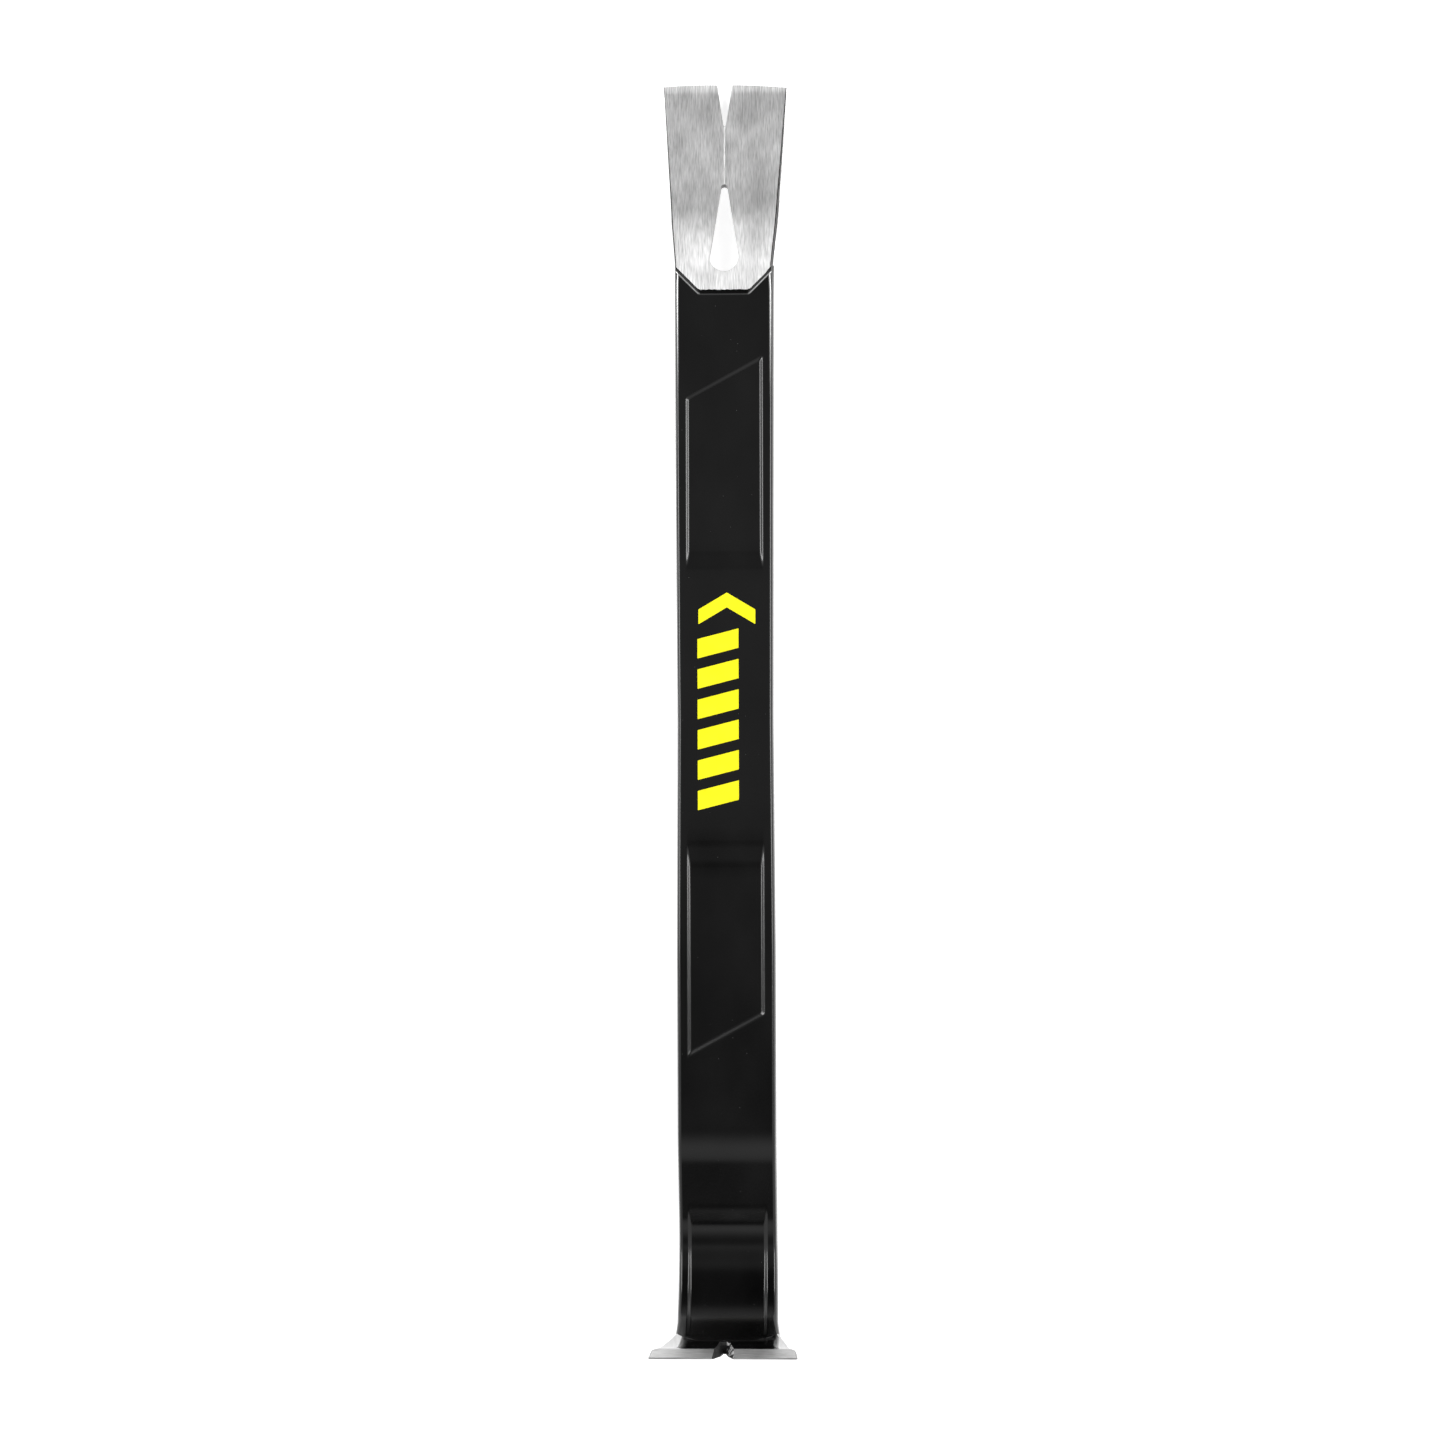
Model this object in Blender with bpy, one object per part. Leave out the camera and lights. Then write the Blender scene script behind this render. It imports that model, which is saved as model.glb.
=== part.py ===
"""A forged flat pry bar, 600 mm long, with a straight claw, a shank with pressed pockets, a rocker
heel and a hook claw. Metres, +Z up.

The bar lies on its back on a bench: +Y runs to the straight claw, the front of the shank faces +Z
and the hook claw points up at -Y. It is made as the real one is. A flat blank is shaped first, in
flat coordinates (x across, u along the front surface, t above the front surface), and then bent
along the side profile. On the straight part of the shank u equals y.

Three kinds of piece make it up: the steel forging, the black coat round its shank, and the yellow
printed marks on the coat. Touching layers keep LAYER_GAP between them.
"""

import math

import bmesh
import bpy
from mathutils import Vector

# Side profile: a run is (length, turn in degrees of the tangent).
SHANK_FRONT_HEIGHT = 0.0200
CLAW_BEND_START = 0.2040
HEEL_BEND_START = -0.1920
CLAW_RUNS = ((0.0400, -12.4), (0.0626, 0.0))
HOOK_RUNS = ((0.0183, 15.0), (0.0269, 0.0), (0.0816, -105.0), (0.0105, 0.0))
FACET_TURN = 7.5

# Stations along u that the shapes below are measured from.
CLAW_TIP = CLAW_BEND_START + sum(length for length, _ in CLAW_RUNS)
HOOK_TIP = HEEL_BEND_START - sum(length for length, _ in HOOK_RUNS)
HEEL_LOW = HEEL_BEND_START - 0.0569
HOOK_BEVEL = HOOK_TIP + 0.0105
HOOK_FLARE = HOOK_BEVEL + 0.0202
CLAW_FLARE = 0.2175

# (u, half width at the parting line)
HALF_WIDTHS = (
    (HOOK_TIP, 0.0347),
    (HOOK_BEVEL - 0.0040, 0.0342),
    (HOOK_BEVEL, 0.0320),
    (HOOK_FLARE - 0.0101, 0.0290),
    (HOOK_FLARE, 0.0248),
    (HOOK_FLARE + 0.010, 0.0239),
    (HEEL_LOW, 0.02345),
    (-0.110, 0.0235),
    (0.0, 0.0228),
    (0.120, 0.0233),
    (CLAW_FLARE, 0.0236),
    (CLAW_TIP - 0.0010, 0.0296),
    (CLAW_TIP, 0.0290),
)
# (u, thickness)
THICKNESSES = (
    (HOOK_TIP, 0.0036),
    (HOOK_BEVEL, 0.0042),
    (HOOK_FLARE, 0.0068),
    (HEEL_LOW, 0.0091),
    (HEEL_BEND_START, 0.0080),
    (CLAW_BEND_START, 0.0080),
    (CLAW_FLARE + 0.020, 0.0070),
    (CLAW_TIP, 0.00245),
)
HOOK_BEVEL_DROP = 0.0028
CORNER = 0.0018
CORNER_SHARE = 0.30
DRAFT = 0.00035

# The ground face of the straight claw lies below the painted front, behind a sloping step.
GRIND_DEPTH = 0.0012
GRIND_END = 0.2050
GRIND_END_HALF = 0.0119
GRIND_SLOPE = 0.0022
GRIND_TOP = 0.2168

# Pressed pockets.
POCKET_DEPTH = 0.0010
POCKET_HALF = 0.0183
POCKET_WALL = 0.0015
POCKET_RAMP = 0.0071
UPPER_POCKET_LOW = 0.0729
UPPER_POCKET_LEFT = 0.1537
UPPER_POCKET_RIGHT = 0.1736
LOWER_POCKET_TOP = -0.0572
LOWER_POCKET_LEFT = -0.1589
LOWER_POCKET_RIGHT = -0.1389
HOOK_POCKET_HALF = 0.0189
HOOK_POCKET_TOP = -0.2325
HOOK_POCKET_LOW = HEEL_LOW - 0.0520
HOOK_POCKET_RAMP = 0.0095

# Nail slots.
CLAW_NOTCH_HALF = 0.0036
CLAW_NOTCH_ROOT_HALF = 0.0004
CLAW_NOTCH_DEPTH = 0.0204
TEAR_CENTRE = 0.2209
TEAR_RADIUS = 0.00685
TEAR_TOP = CLAW_TIP - 0.0500
TEAR_TOP_RADIUS = 0.0016
HOOK_NOTCH_HALF = 0.0045
HOOK_NOTCH_ROOT_HALF = 0.0006
HOOK_NOTCH_DEPTH = 0.0200
HOOK_NOTCH_COUNTERSINK = 0.0019

# The coat ends in the middle of each claw, straight across between two slanted stretches.
COAT_THICKNESS = 0.00025
LAYER_GAP = 0.0003
STEEL_INSET = COAT_THICKNESS + LAYER_GAP
COAT_HOOK_SIDE = HOOK_FLARE
COAT_HOOK_MIDDLE = HOOK_FLARE - 0.0070
COAT_HOOK_HALF = 0.0140

# Printed marks: slanted bars in a column, under one chevron.
PRINT_THICKNESS = 0.0002
BAR_COUNT = 6
BAR_FIRST = -0.0420
BAR_PITCH = 0.0144
BAR_HEIGHT = 0.0092
BAR_LEFT = -0.0130
BAR_RIGHT = 0.0065
BAR_SLANT = 0.0050
CHEVRON_LOW = 0.0462
CHEVRON_HALF = 0.0135
CHEVRON_RISE = 0.0080
CHEVRON_BAND = 0.0070
CHEVRON_CENTRE = 0.0010

OVERCUT = 0.004
WIDE = 0.060


def clear_scene():
    for old in list(bpy.data.objects):
        bpy.data.objects.remove(old)


def material(name, colour, metallic, roughness):
    made = bpy.data.materials.new(name)
    made.use_nodes = True
    shader = made.node_tree.nodes["Principled BSDF"]
    shader.inputs["Base Color"].default_value = (*colour, 1.0)
    shader.inputs["Metallic"].default_value = metallic
    shader.inputs["Roughness"].default_value = roughness
    return made


# ---- the side profile -------------------------------------------------------------------------


def stations():
    """(u, point, normal) at every facet end, in the YZ plane, from the hook tip to the claw tip."""

    def walked(u, runs, way):
        found = []
        point = Vector((0.0, u, SHANK_FRONT_HEIGHT))
        angle = 0.0
        for length, turn in runs:
            facets = max(1, math.ceil(abs(turn) / FACET_TURN))
            step, bend = length / facets, math.radians(turn) / facets
            chord = step if bend == 0 else 2 * step / bend * math.sin(bend / 2)
            for _ in range(facets):
                middle = angle + bend / 2
                point = point + way * chord * Vector((0, math.cos(middle), math.sin(middle)))
                angle += bend
                u += way * step
                found.append((u, point, Vector((0, -math.sin(angle), math.cos(angle)))))
        return found

    up = Vector((0, 0, 1))
    ends = (HEEL_BEND_START, CLAW_BEND_START)
    middle = [(u, Vector((0, u, SHANK_FRONT_HEIGHT)), up) for u in ends]
    hook = walked(HEEL_BEND_START, HOOK_RUNS, -1)
    return hook[::-1] + middle + walked(CLAW_BEND_START, CLAW_RUNS, 1)


def bent(point, profile):
    """A point of the flat blank, moved to where the bent bar has it."""
    pairs = list(zip(profile, profile[1:]))
    inside = [pair for pair in pairs if pair[0][0] <= point.y]
    (low, low_at, low_up), (high, high_at, high_up) = inside[-1] if inside else pairs[0]
    share = (point.y - low) / (high - low)
    spot = (low_at + low_up * point.z).lerp(high_at + high_up * point.z, share)
    return Vector((point.x, spot.y, spot.z))


# ---- solids in flat coordinates ---------------------------------------------------------------


def solid(name, rings):
    """A closed solid from rings of points that each have the same number of corners."""
    mesh = bpy.data.meshes.new(name)
    made = bpy.data.objects.new(name, mesh)
    bpy.context.scene.collection.objects.link(made)
    bm = bmesh.new()
    loops = [[bm.verts.new(corner) for corner in ring] for ring in rings]
    for low, high in zip(loops, loops[1:]):
        for i, corner in enumerate(low):
            after = (i + 1) % len(low)
            bm.faces.new((corner, low[after], high[after], high[i]))
    bm.faces.new(loops[0][::-1])
    bm.faces.new(loops[-1])
    bmesh.ops.recalc_face_normals(bm, faces=bm.faces)
    bm.to_mesh(mesh)
    bm.free()
    return made


def prism(name, low_outline, low, high_outline, high):
    """A cutter between two outlines of (x, u) corners, at heights low and high."""
    rings = [[(x, u, t) for x, u in outline] for outline, t in ((low_outline, low), (high_outline, high))]
    return solid(name, rings)


def carve(target, cutter, operation="DIFFERENCE"):
    """Cuts target with cutter, which is used up."""
    boolean = target.modifiers.new(operation, "BOOLEAN")
    boolean.operation = operation
    boolean.object = cutter
    boolean.solver = "EXACT"
    graph = bpy.context.evaluated_depsgraph_get()
    result = bpy.data.meshes.new_from_object(target.evaluated_get(graph))
    target.modifiers.clear()
    target.data = result
    bpy.data.objects.remove(cutter)
    return target


def value_at(table, u):
    """The value at u on the straight lines between a table's points."""
    if u <= table[0][0]:
        return table[0][1]
    for (low, first), (high, second) in zip(table, table[1:]):
        if u <= high:
            return first + (second - first) * (u - low) / (high - low)
    return table[-1][1]


def section(u, inset):
    """The bar's cross-section at u, with every side moved in by inset."""
    half = value_at(HALF_WIDTHS, u) - inset
    bevelled = min(1.0, max(0.0, (HOOK_BEVEL - u) / (HOOK_BEVEL - HOOK_TIP)))
    top = -HOOK_BEVEL_DROP * bevelled - inset
    bottom = inset - value_at(THICKNESSES, u)
    # The grinding later takes GRIND_DEPTH off the claw's front.
    left_over = top - bottom - (GRIND_DEPTH if u > GRIND_END else 0.0)
    corner = min(CORNER - inset, CORNER_SHARE * left_over)
    eased = corner * (1 - math.sqrt(0.5))
    side = half - DRAFT
    right = (
        (side - corner, top),
        (side - eased, top - eased),
        (side, top - corner),
        (half, (top + bottom) / 2),
        (side, bottom + corner),
        (side - eased, bottom + eased),
        (side - corner, bottom),
    )
    ring = right + tuple((-x, t) for x, t in reversed(right))
    return [(x, u, t) for x, t in ring]


def shifted(outline, shifts):
    """The outline, counterclockwise, with each edge moved inwards by its own shift."""
    lines = []
    for i, (x, u) in enumerate(outline):
        along = Vector(outline[(i + 1) % len(outline)]) - Vector((x, u))
        inward = Vector((-along.y, along.x)).normalized()
        lines.append((Vector((x, u)) + inward * shifts[i], along))
    corners = []
    for i, (start, along) in enumerate(lines):
        before, back = lines[i - 1]
        reach = (before - start).cross(back) / along.cross(back)
        corners.append(tuple(start + along * reach))
    return corners


def pocket(outline, slopes, inset, face, way):
    """A cutter for a pocket with one slope per edge, pressed into the face at height face.
    way is -1 from the front and 1 from the back. An inset solid has a slightly wider pocket."""
    spread = [-inset * (math.hypot(POCKET_DEPTH, slope) - slope) / POCKET_DEPTH for slope in slopes]
    rim = shifted(outline, spread)
    floor = shifted(rim, slopes)
    mouth = shifted(rim, [-slope * OVERCUT / POCKET_DEPTH for slope in slopes])
    return prism("pocket", floor, face + way * POCKET_DEPTH, mouth, face - way * OVERCUT)


def shank_pockets():
    """(outline, slopes) of the two shank pockets: three walls and one ramp each."""
    upper = (
        (-POCKET_HALF, UPPER_POCKET_LOW),
        (POCKET_HALF, UPPER_POCKET_LOW),
        (POCKET_HALF, UPPER_POCKET_RIGHT),
        (-POCKET_HALF, UPPER_POCKET_LEFT),
    )
    lower = (
        (-POCKET_HALF, LOWER_POCKET_LEFT),
        (POCKET_HALF, LOWER_POCKET_RIGHT),
        (POCKET_HALF, LOWER_POCKET_TOP),
        (-POCKET_HALF, LOWER_POCKET_TOP),
    )
    wall, ramp = POCKET_WALL, POCKET_RAMP
    return ((upper, (ramp, wall, wall, wall)), (lower, (wall, wall, ramp, wall)))


def hook_pocket():
    outline = (
        (-HOOK_POCKET_HALF, HOOK_POCKET_LOW),
        (HOOK_POCKET_HALF, HOOK_POCKET_LOW),
        (HOOK_POCKET_HALF, HOOK_POCKET_TOP),
        (-HOOK_POCKET_HALF, HOOK_POCKET_TOP),
    )
    return outline, (POCKET_WALL, POCKET_WALL, HOOK_POCKET_RAMP, POCKET_WALL)


def grind_cutter(inset):
    """Takes GRIND_DEPTH off the straight claw's front, up to a step with slanted shoulders."""
    slope_length = math.hypot(GRIND_DEPTH, GRIND_SLOPE)
    spread = inset * (slope_length - GRIND_SLOPE) / GRIND_DEPTH

    def outline(back):
        end, shoulder = GRIND_END - back, GRIND_END - back + WIDE - GRIND_END_HALF
        return (
            (-WIDE, shoulder),
            (-GRIND_END_HALF, end),
            (GRIND_END_HALF, end),
            (WIDE, shoulder),
            (WIDE, CLAW_TIP + WIDE),
            (-WIDE, CLAW_TIP + WIDE),
        )

    mouth_back = GRIND_SLOPE * (1 + OVERCUT / GRIND_DEPTH) + spread
    return prism("grind", outline(spread), -GRIND_DEPTH - inset, outline(mouth_back), OVERCUT)


def blank(name, inset=0.0, low=HOOK_TIP, high=CLAW_TIP):
    """The flat blank between two stations, with its pockets and its ground claw."""
    breaks = {u for table in (HALF_WIDTHS, THICKNESSES) for u, _ in table} | {low, high}
    rings = [section(u, inset) for u in sorted(breaks) if low <= u <= high]
    made = solid(name, rings)
    for outline, slopes in shank_pockets():
        carve(made, pocket(outline, slopes, inset, -inset, -1))
        back = inset - value_at(THICKNESSES, outline[0][1])
        carve(made, pocket(outline, slopes, inset, back, 1))
    outline, slopes = hook_pocket()
    carve(made, pocket(outline, slopes, inset, -inset, -1))
    return carve(made, grind_cutter(inset))


def coat_zone(name, reach):
    """A block round the coated stretch, reach longer at each end than the coat."""
    shoulder = GRIND_END + WIDE - GRIND_END_HALF
    outline = (
        (-COAT_HOOK_HALF, COAT_HOOK_MIDDLE - reach),
        (COAT_HOOK_HALF, COAT_HOOK_MIDDLE - reach),
        (2 * COAT_HOOK_HALF, COAT_HOOK_SIDE - reach),
        (WIDE, COAT_HOOK_SIDE - reach),
        (WIDE, shoulder + reach),
        (GRIND_END_HALF, GRIND_END + reach),
        (-GRIND_END_HALF, GRIND_END + reach),
        (-WIDE, shoulder + reach),
        (-WIDE, COAT_HOOK_SIDE - reach),
        (-2 * COAT_HOOK_HALF, COAT_HOOK_SIDE - reach),
    )
    return prism(name, outline, -WIDE, outline, WIDE)


# ---- slots ------------------------------------------------------------------------------------


def claw_notch():
    root, mouth = CLAW_TIP - CLAW_NOTCH_DEPTH, CLAW_TIP + OVERCUT
    wide = CLAW_NOTCH_HALF * (1 + OVERCUT / CLAW_NOTCH_DEPTH)
    outline = (
        (-CLAW_NOTCH_ROOT_HALF, root),
        (CLAW_NOTCH_ROOT_HALF, root),
        (wide, mouth),
        (-wide, mouth),
    )
    return prism("claw_notch", outline, -WIDE, outline, WIDE)


def teardrop():
    """The nail slot: a round end and a small round top, joined by their tangents."""
    top_centre = TEAR_TOP - TEAR_TOP_RADIUS
    lean = math.asin((TEAR_RADIUS - TEAR_TOP_RADIUS) / (top_centre - TEAR_CENTRE))

    def arc(centre, radius, first, last, count):
        angles = [first + (last - first) * i / count for i in range(count + 1)]
        return [(radius * math.cos(a), centre + radius * math.sin(a)) for a in angles]

    outline = arc(TEAR_CENTRE, TEAR_RADIUS, math.pi - lean, 2 * math.pi + lean, 18)
    outline += arc(top_centre, TEAR_TOP_RADIUS, lean, math.pi - lean, 6)
    return prism("teardrop", outline, -WIDE, outline, WIDE)


def hook_notch():
    """The nail notch of the hook claw, wider on its inner side."""
    root, mouth = HOOK_TIP + HOOK_NOTCH_DEPTH, HOOK_TIP - OVERCUT

    def outline(spread):
        wide = HOOK_NOTCH_HALF + (HOOK_NOTCH_HALF - HOOK_NOTCH_ROOT_HALF) * OVERCUT / HOOK_NOTCH_DEPTH
        return (
            (-wide - spread, mouth),
            (wide + spread, mouth),
            (HOOK_NOTCH_ROOT_HALF + spread, root + spread),
            (-HOOK_NOTCH_ROOT_HALF - spread, root + spread),
        )

    thick = value_at(THICKNESSES, HOOK_BEVEL)
    mouth_spread = HOOK_NOTCH_COUNTERSINK * (1 + OVERCUT / thick)
    levels = ((-WIDE, 0.0), (-thick, 0.0), (OVERCUT, mouth_spread))
    return solid("hook_notch", [[(x, u, t) for x, u in outline(spread)] for t, spread in levels])


# ---- the pieces -------------------------------------------------------------------------------


def forged_bar():
    """The whole steel forging. Under the coat it is thinner by the coat and the layer gap."""
    bar = blank("forged_bar")
    reach = OVERCUT
    low, high = COAT_HOOK_MIDDLE - reach, GRIND_TOP + reach
    under_coat = coat_zone("under_coat", LAYER_GAP)
    carve(under_coat, blank("core", STEEL_INSET, low, high))
    carve(bar, under_coat)
    for slot in (claw_notch(), teardrop(), hook_notch()):
        carve(bar, slot)
    return bar


def black_coat():
    """The black coat: a thin sleeve round the shank, heel and hook, open at both ends."""
    reach = OVERCUT
    low, high = COAT_HOOK_MIDDLE - reach, GRIND_TOP + reach
    coat = blank("black_coat", 0.0, low, high)
    carve(coat, blank("inside", COAT_THICKNESS, low - reach / 2, high + reach / 2))
    return carve(coat, coat_zone("zone", 0.0), "INTERSECT")


def printed_marks():
    """The yellow bars and the chevron, each a thin island on the coat."""
    marks = []
    low, high = LAYER_GAP, LAYER_GAP + PRINT_THICKNESS
    for i in range(BAR_COUNT):
        base = BAR_FIRST + i * BAR_PITCH
        outline = (
            (BAR_LEFT, base),
            (BAR_RIGHT, base + BAR_SLANT),
            (BAR_RIGHT, base + BAR_SLANT + BAR_HEIGHT),
            (BAR_LEFT, base + BAR_HEIGHT),
        )
        marks.append(prism(f"print_bar_{i + 1}", outline, low, outline, high))
    left, right = CHEVRON_CENTRE - CHEVRON_HALF, CHEVRON_CENTRE + CHEVRON_HALF
    chevron = (
        (left, CHEVRON_LOW),
        (CHEVRON_CENTRE, CHEVRON_LOW + CHEVRON_RISE),
        (right, CHEVRON_LOW),
        (right, CHEVRON_LOW + CHEVRON_BAND),
        (CHEVRON_CENTRE, CHEVRON_LOW + CHEVRON_RISE + CHEVRON_BAND),
        (left, CHEVRON_LOW + CHEVRON_BAND),
    )
    marks.append(prism("print_chevron", chevron, low, chevron, high))
    return marks


def bend(piece, profile):
    """Slices the flat piece at the profile's stations and bends it, facet by facet."""
    bm = bmesh.new()
    bm.from_mesh(piece.data)
    for u, _, _ in profile[1:-1]:
        everything = bm.verts[:] + bm.edges[:] + bm.faces[:]
        bmesh.ops.bisect_plane(bm, geom=everything, plane_co=(0, u, 0), plane_no=(0, 1, 0))
    bmesh.ops.remove_doubles(bm, verts=bm.verts, dist=1e-6)
    bmesh.ops.triangulate(bm, faces=bm.faces)
    for vert in bm.verts:
        vert.co = bent(vert.co, profile)
    bmesh.ops.recalc_face_normals(bm, faces=bm.faces)
    bm.to_mesh(piece.data)
    bm.free()


def stand_on_bench(pieces):
    """Moves the shapes so that the origin is the bottom centre of the whole bar's box."""
    corners = [vert.co for piece in pieces for vert in piece.data.vertices]
    middle = (min(c.y for c in corners) + max(c.y for c in corners)) / 2
    low = min(c.z for c in corners)
    for piece in pieces:
        for vert in piece.data.vertices:
            vert.co -= Vector((0, middle, low))


def main():
    clear_scene()
    steel = material("ground_steel", (0.62, 0.62, 0.63), 1.0, 0.35)
    paint = material("black_paint", (0.012, 0.012, 0.013), 0.0, 0.38)
    ink = material("yellow_ink", (0.93, 0.87, 0.0), 0.0, 0.45)
    bar, coat, marks = forged_bar(), black_coat(), printed_marks()
    pieces = [bar, coat, *marks]
    profile = stations()
    for piece in pieces:
        bend(piece, profile)
        piece.data.materials.clear()
    bar.data.materials.append(steel)
    coat.data.materials.append(paint)
    for mark in marks:
        mark.data.materials.append(ink)
    stand_on_bench(pieces)


main()
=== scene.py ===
"""The looks of a forged flat pry bar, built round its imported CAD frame. Metres, +Z up.

The bar is shaped in flat coordinates (x across, u along the front surface, t above it) and then
bent along its side profile, as the frame's own solids are.
"""
import math

import bmesh
import bpy
import numpy as np
from mathutils import Matrix, Vector


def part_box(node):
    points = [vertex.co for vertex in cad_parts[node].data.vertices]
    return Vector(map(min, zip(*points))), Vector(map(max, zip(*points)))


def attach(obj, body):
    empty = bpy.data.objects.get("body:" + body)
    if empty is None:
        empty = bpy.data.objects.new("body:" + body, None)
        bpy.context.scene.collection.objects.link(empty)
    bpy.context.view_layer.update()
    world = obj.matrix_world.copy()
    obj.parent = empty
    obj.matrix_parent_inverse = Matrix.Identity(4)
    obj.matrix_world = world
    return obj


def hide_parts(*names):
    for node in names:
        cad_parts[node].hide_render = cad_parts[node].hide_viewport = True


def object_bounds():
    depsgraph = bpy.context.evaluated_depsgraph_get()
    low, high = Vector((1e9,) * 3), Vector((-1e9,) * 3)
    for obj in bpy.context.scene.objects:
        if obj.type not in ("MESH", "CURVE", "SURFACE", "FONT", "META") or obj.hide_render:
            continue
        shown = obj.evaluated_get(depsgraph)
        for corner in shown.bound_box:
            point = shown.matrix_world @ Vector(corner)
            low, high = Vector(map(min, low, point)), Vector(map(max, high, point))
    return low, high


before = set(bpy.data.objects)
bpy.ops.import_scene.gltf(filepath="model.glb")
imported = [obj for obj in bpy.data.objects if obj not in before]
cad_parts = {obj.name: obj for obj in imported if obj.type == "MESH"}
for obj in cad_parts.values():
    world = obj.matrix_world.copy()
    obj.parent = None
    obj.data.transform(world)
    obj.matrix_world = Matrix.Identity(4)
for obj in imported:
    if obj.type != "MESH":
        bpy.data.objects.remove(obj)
cad_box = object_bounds()

# ---- the shape, as the frame has it -----------------------------------------------------------

# Side profile: a run is (length, turn in degrees of the tangent).
CLAW_BEND_START, HEEL_BEND_START = 0.2040, -0.1920
CLAW_RUNS = ((0.0400, -12.4), (0.0626, 0.0))
HOOK_RUNS = ((0.0183, 15.0), (0.0269, 0.0), (0.0816, -105.0), (0.0105, 0.0))

# Stations along u.
CLAW_TIP = CLAW_BEND_START + sum(length for length, _ in CLAW_RUNS)
HOOK_TIP = HEEL_BEND_START - sum(length for length, _ in HOOK_RUNS)
HEEL_LOW = HEEL_BEND_START - 0.0569
HOOK_BEVEL = HOOK_TIP + 0.0105
HOOK_FLARE = HOOK_BEVEL + 0.0202
CLAW_FLARE = 0.2175

# Tables of (u, value). HALF_WIDTHS is at the parting line, and CORNERS is the radius of the edges.
HALF_WIDTHS = (
    (HOOK_TIP, 0.0347), (HOOK_BEVEL - 0.0040, 0.0342), (HOOK_BEVEL - 0.0012, 0.0332),
    (HOOK_BEVEL, 0.0318), (HOOK_FLARE - 0.0101, 0.0289), (HOOK_FLARE, 0.0248),
    (HOOK_FLARE + 0.010, 0.0239), (HEEL_LOW, 0.02345), (-0.110, 0.0235), (0.0, 0.0228),
    (0.120, 0.0233), (CLAW_FLARE, 0.0236), (CLAW_FLARE + 0.020, 0.0255),
    (CLAW_TIP - 0.0006, 0.0296), (CLAW_TIP, 0.0292),
)
THICKNESSES = (
    (HOOK_TIP, 0.0036), (HOOK_BEVEL, 0.0042), (HOOK_FLARE, 0.0068), (HEEL_LOW, 0.0091),
    (HEEL_BEND_START, 0.0080), (CLAW_BEND_START, 0.0080), (CLAW_FLARE + 0.020, 0.0070),
    (CLAW_TIP, 0.00245),
)
CORNERS = (
    (HOOK_TIP, 0.0006), (HOOK_BEVEL, 0.0008), (HOOK_FLARE + 0.012, 0.0018),
    (CLAW_FLARE, 0.0018), (CLAW_FLARE + 0.020, 0.0016), (CLAW_TIP, 0.0003),
)
LEAST_CORNER, MOST_BACK_CORNER, BACK_CORNER_SHARE = 0.0001, 0.0018, 0.3

# The flat band at the parting line: its half height, and the most that is of the thickness. A lip
# above it reaches LIP_SHARE of the way to the rounded edge.
PARTING_BAND, PARTING_SHARE, LIP_SHARE = 0.0006, 0.15, 0.35

# The straight claw's ground face, with the step where the coat ends and the hollow at its tip. Then
# the hook's sharpening bevel, and where the coat ends on the hook.
GRIND_DEPTH, GRIND_SLOPE, GRIND_ROUND = 0.0012, 0.0022, 0.16
GRIND_END, GRIND_END_HALF, SHOULDER_ROUND = 0.2050, 0.0119, 0.0012
HOLLOW_RISE, HOLLOW_LENGTH, HOLLOW_ROUND = 0.0002, 0.0034, 0.4
HOOK_BEVEL_DROP, HOOK_BEVEL_ROUND = 0.0028, 0.012
COAT_HOOK_MIDDLE, COAT_HOOK_HALF, COAT_HOOK_ROUND = HOOK_FLARE - 0.0070, 0.0140, 0.0015

# The forging isn't quite symmetrical. STRAYS is how far its sides stray to +X, and RIGHT_DRAFTS how
# much narrower its front is than its parting line at +X. At -X that is DRAFT all along.
STRAYS = (
    (HOOK_BEVEL, 0.0), (HOOK_FLARE, 0.0010), (HOOK_FLARE + 0.015, 0.0005), (HEEL_LOW, 0.0002),
    (0.1, 0.0), (CLAW_FLARE, 0.0001), (CLAW_FLARE + 0.030, 0.0005), (CLAW_TIP, 0.0002),
)
DRAFT = 0.00035
RIGHT_DRAFTS = (
    (GRIND_END, DRAFT), (CLAW_FLARE, 0.0011), (CLAW_FLARE + 0.030, 0.0012), (CLAW_TIP, 0.0004),
)

# The straight claw's tip edge is worn convex, and a little further back at +X.
WORN_CURVE, WORN_LEAN, WORN_HALF, WORN_LENGTH = 0.0011, 0.0004, 0.029, 0.012

# Pressed pockets. low and high are the u of a pocket's ends, at its -X and +X corners.
POCKET_DEPTH, POCKET_WALL = 0.0010, 0.0015
UPPER_RAMP, LOWER_RAMP, HOOK_RAMP = 0.0071, 0.0110, 0.0095
HOOK_POCKET_LOW, HOOK_POCKET_HIGH = HEEL_LOW - 0.0520, -0.2325
UPPER_POCKET = dict(
    half=0.0183, low=(0.0729, 0.0729), high=(0.1537, 0.1736),
    low_slope=UPPER_RAMP, high_slope=POCKET_WALL,
)
LOWER_POCKET = dict(
    half=0.0183, low=(-0.1589, -0.1389), high=(-0.0572, -0.0572),
    low_slope=POCKET_WALL, high_slope=LOWER_RAMP,
)
HOOK_POCKET = dict(
    half=0.0189, low=(HOOK_POCKET_LOW,) * 2, high=(HOOK_POCKET_HIGH,) * 2,
    low_slope=POCKET_WALL, high_slope=HOOK_RAMP,
)

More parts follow.
